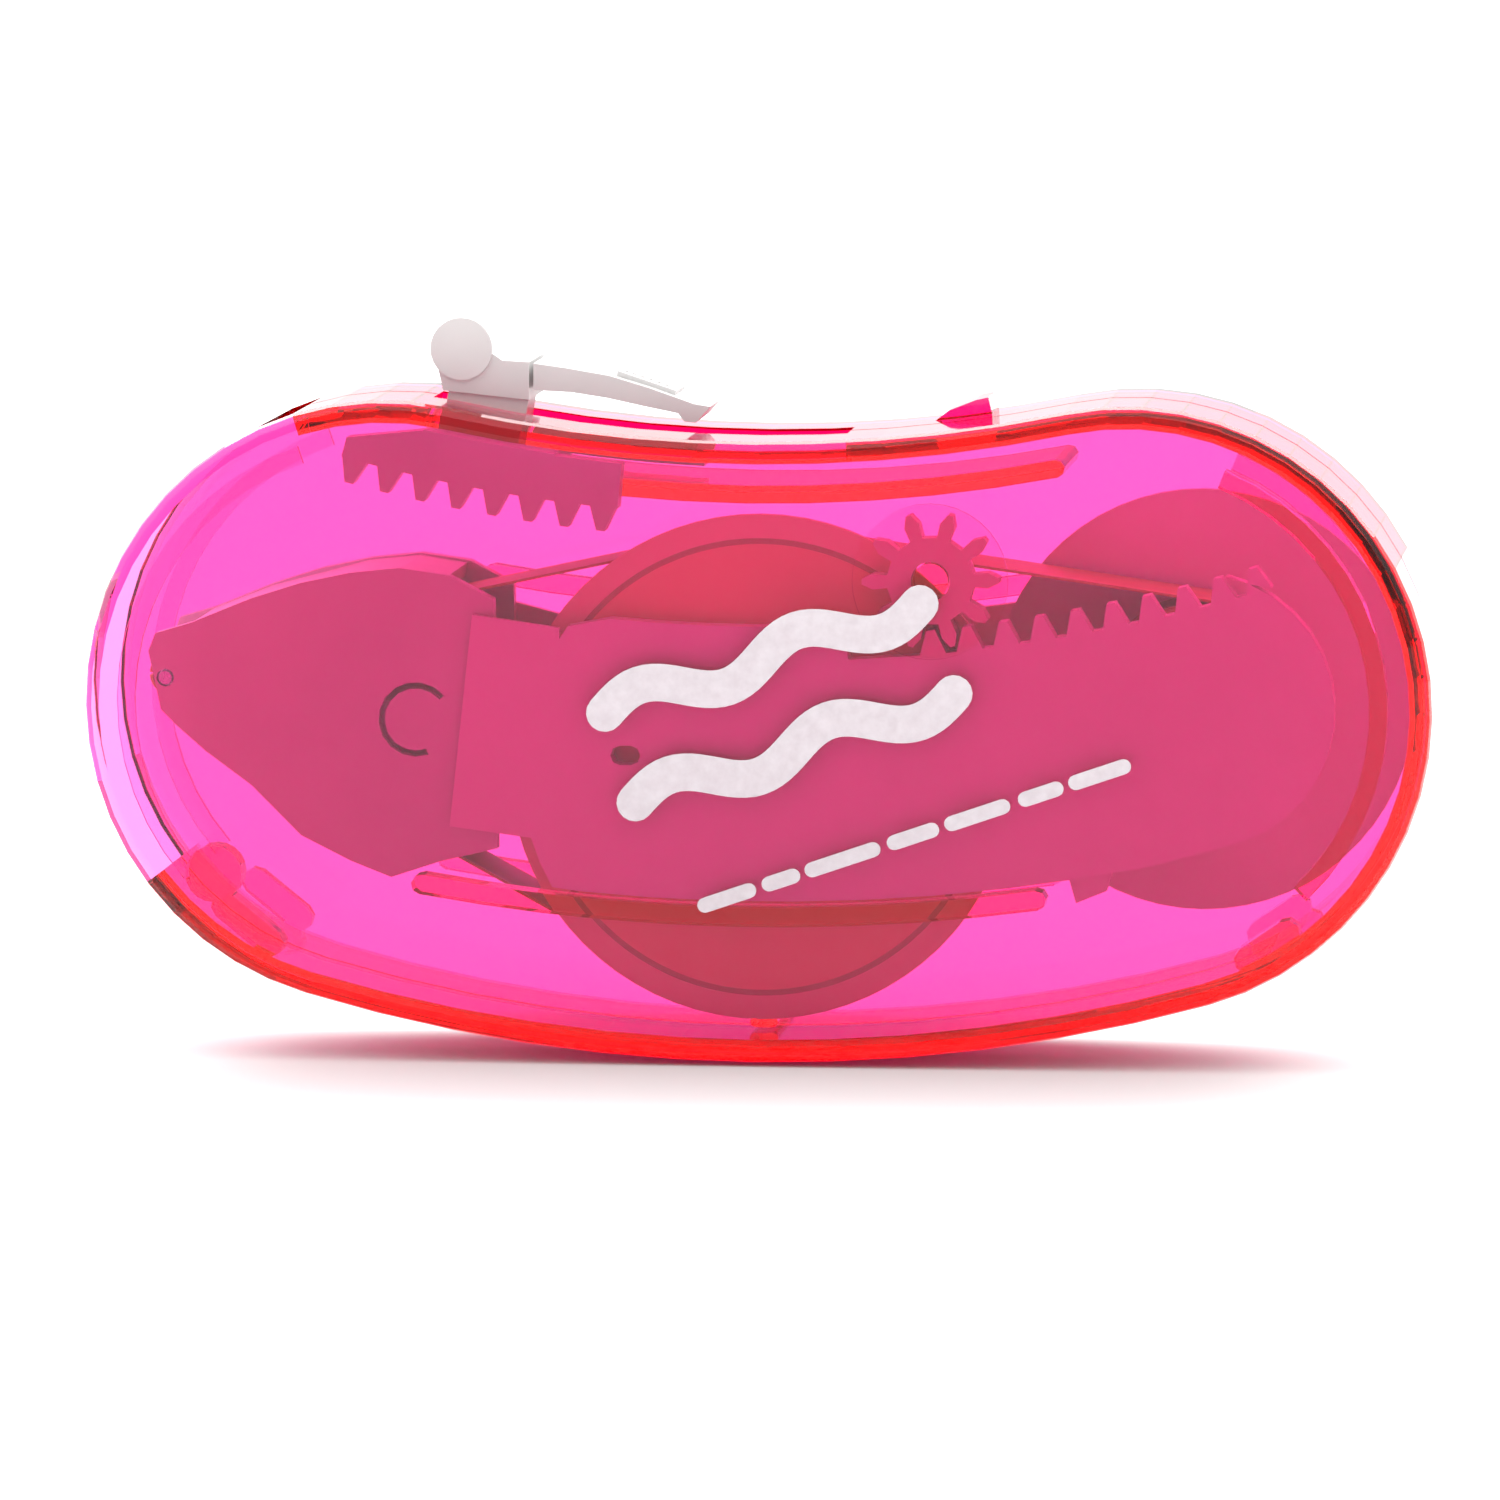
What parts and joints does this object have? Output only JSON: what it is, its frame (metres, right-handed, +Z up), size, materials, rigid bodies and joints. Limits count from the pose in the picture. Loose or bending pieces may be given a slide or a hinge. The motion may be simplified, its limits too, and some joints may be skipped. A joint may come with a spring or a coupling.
{
  "type": "correction tape roller",
  "caption": "Bean-shaped see-through glue tape roller. A sliding knob works a pinion and two arched racks that push the tape head out of the end.",
  "frame": {"origin": "bottom centre of the bounding box: below the middle of the case, in the plane where its two halves meet", "axes": "+X towards the right end, away from the tape head; +Y from the front face to the rear face; +Z up, towards the slider"},
  "size_m": [0.0754, 0.015, 0.0412],
  "materials": {
    "clear_pink": "clear tinted plastic, polished",
    "white_moulded": "white moulding, satin",
    "tan_spool": "tan moulding, satin",
    "tape_liner": "wound tape, brown release liner",
    "steel_pin": "drawn wire",
    "clutch_rubber": "matt"
  },
  "bodies": {
    "case": {"front_shell": "clear_pink", "rear_shell": "clear_pink"},
    "slider": {"slider": "white_moulded", "slider_arm": "white_moulded"},
    "pinion": {"pinion": "white_moulded"},
    "carrier": {"carrier_base": "white_moulded", "carrier_cover": "white_moulded", "head_housing": "white_moulded", "head_cover": "white_moulded", "roller_pin": "steel_pin", "ratchet_pawl": "white_moulded", "tape_feed": "tape_liner", "tape_return": "tape_liner"},
    "supply_reel": {"supply_core": "tan_spool", "tape_roll": "tape_liner", "clutch_washer": "clutch_rubber", "supply_gear": "white_moulded"},
    "takeup_reel": {"takeup_hub": "white_moulded", "takeup_gear": "white_moulded", "used_tape": "tape_liner"},
    "idler": {"idler_gear": "white_moulded"},
    "press_roller": {"press_roller": "white_moulded"}
  },
  "joints": [
    {"name": "carrier_swing", "type": "hinge", "parent": "case", "child": "carrier", "pos_m": [0, 0, 0.11849], "axis": [0, 1, 0], "range_deg": [0, 11.06]},
    {"name": "slider_slide", "type": "hinge", "parent": "case", "child": "slider", "pos_m": [0, 0, 0.11849], "axis": [0, -1, 0], "range_deg": [0, 11.87], "deforming": ["slider_arm"]},
    {"name": "pinion_spin", "type": "hinge", "parent": "case", "child": "pinion", "pos_m": [0.00977, 0, 0.02704], "axis": [0, 1, 0], "range_deg": [0, 324.01]},
    {"name": "supply_spin", "type": "hinge", "parent": "carrier", "child": "supply_reel", "pos_m": [0.0001, 0, 0.0163], "axis": [0, 1, 0], "continuous": true},
    {"name": "takeup_spin", "type": "hinge", "parent": "carrier", "child": "takeup_reel", "pos_m": [0.02437, 0, 0.01963], "axis": [0, 1, 0], "continuous": true},
    {"name": "idler_spin", "type": "hinge", "parent": "carrier", "child": "idler", "pos_m": [0.01546, 0, 0.0184], "axis": [0, 1, 0], "continuous": true},
    {"name": "press_roller_spin", "type": "hinge", "parent": "carrier", "child": "press_roller", "pos_m": [-0.03335, 0, 0.0211], "axis": [0, 1, 0], "continuous": true}
  ],
  "couplings": [
    {"joint": "slider_slide", "follows": "carrier_swing", "ratio": 1.0733},
    {"joint": "pinion_spin", "follows": "carrier_swing", "ratio": 29.3},
    {"joint": "idler_spin", "follows": "supply_spin", "ratio": -3.4286},
    {"joint": "takeup_spin", "follows": "supply_spin", "ratio": 2.1818},
    {"joint": "press_roller_spin", "follows": "supply_spin", "ratio": 11.262}
  ]
}
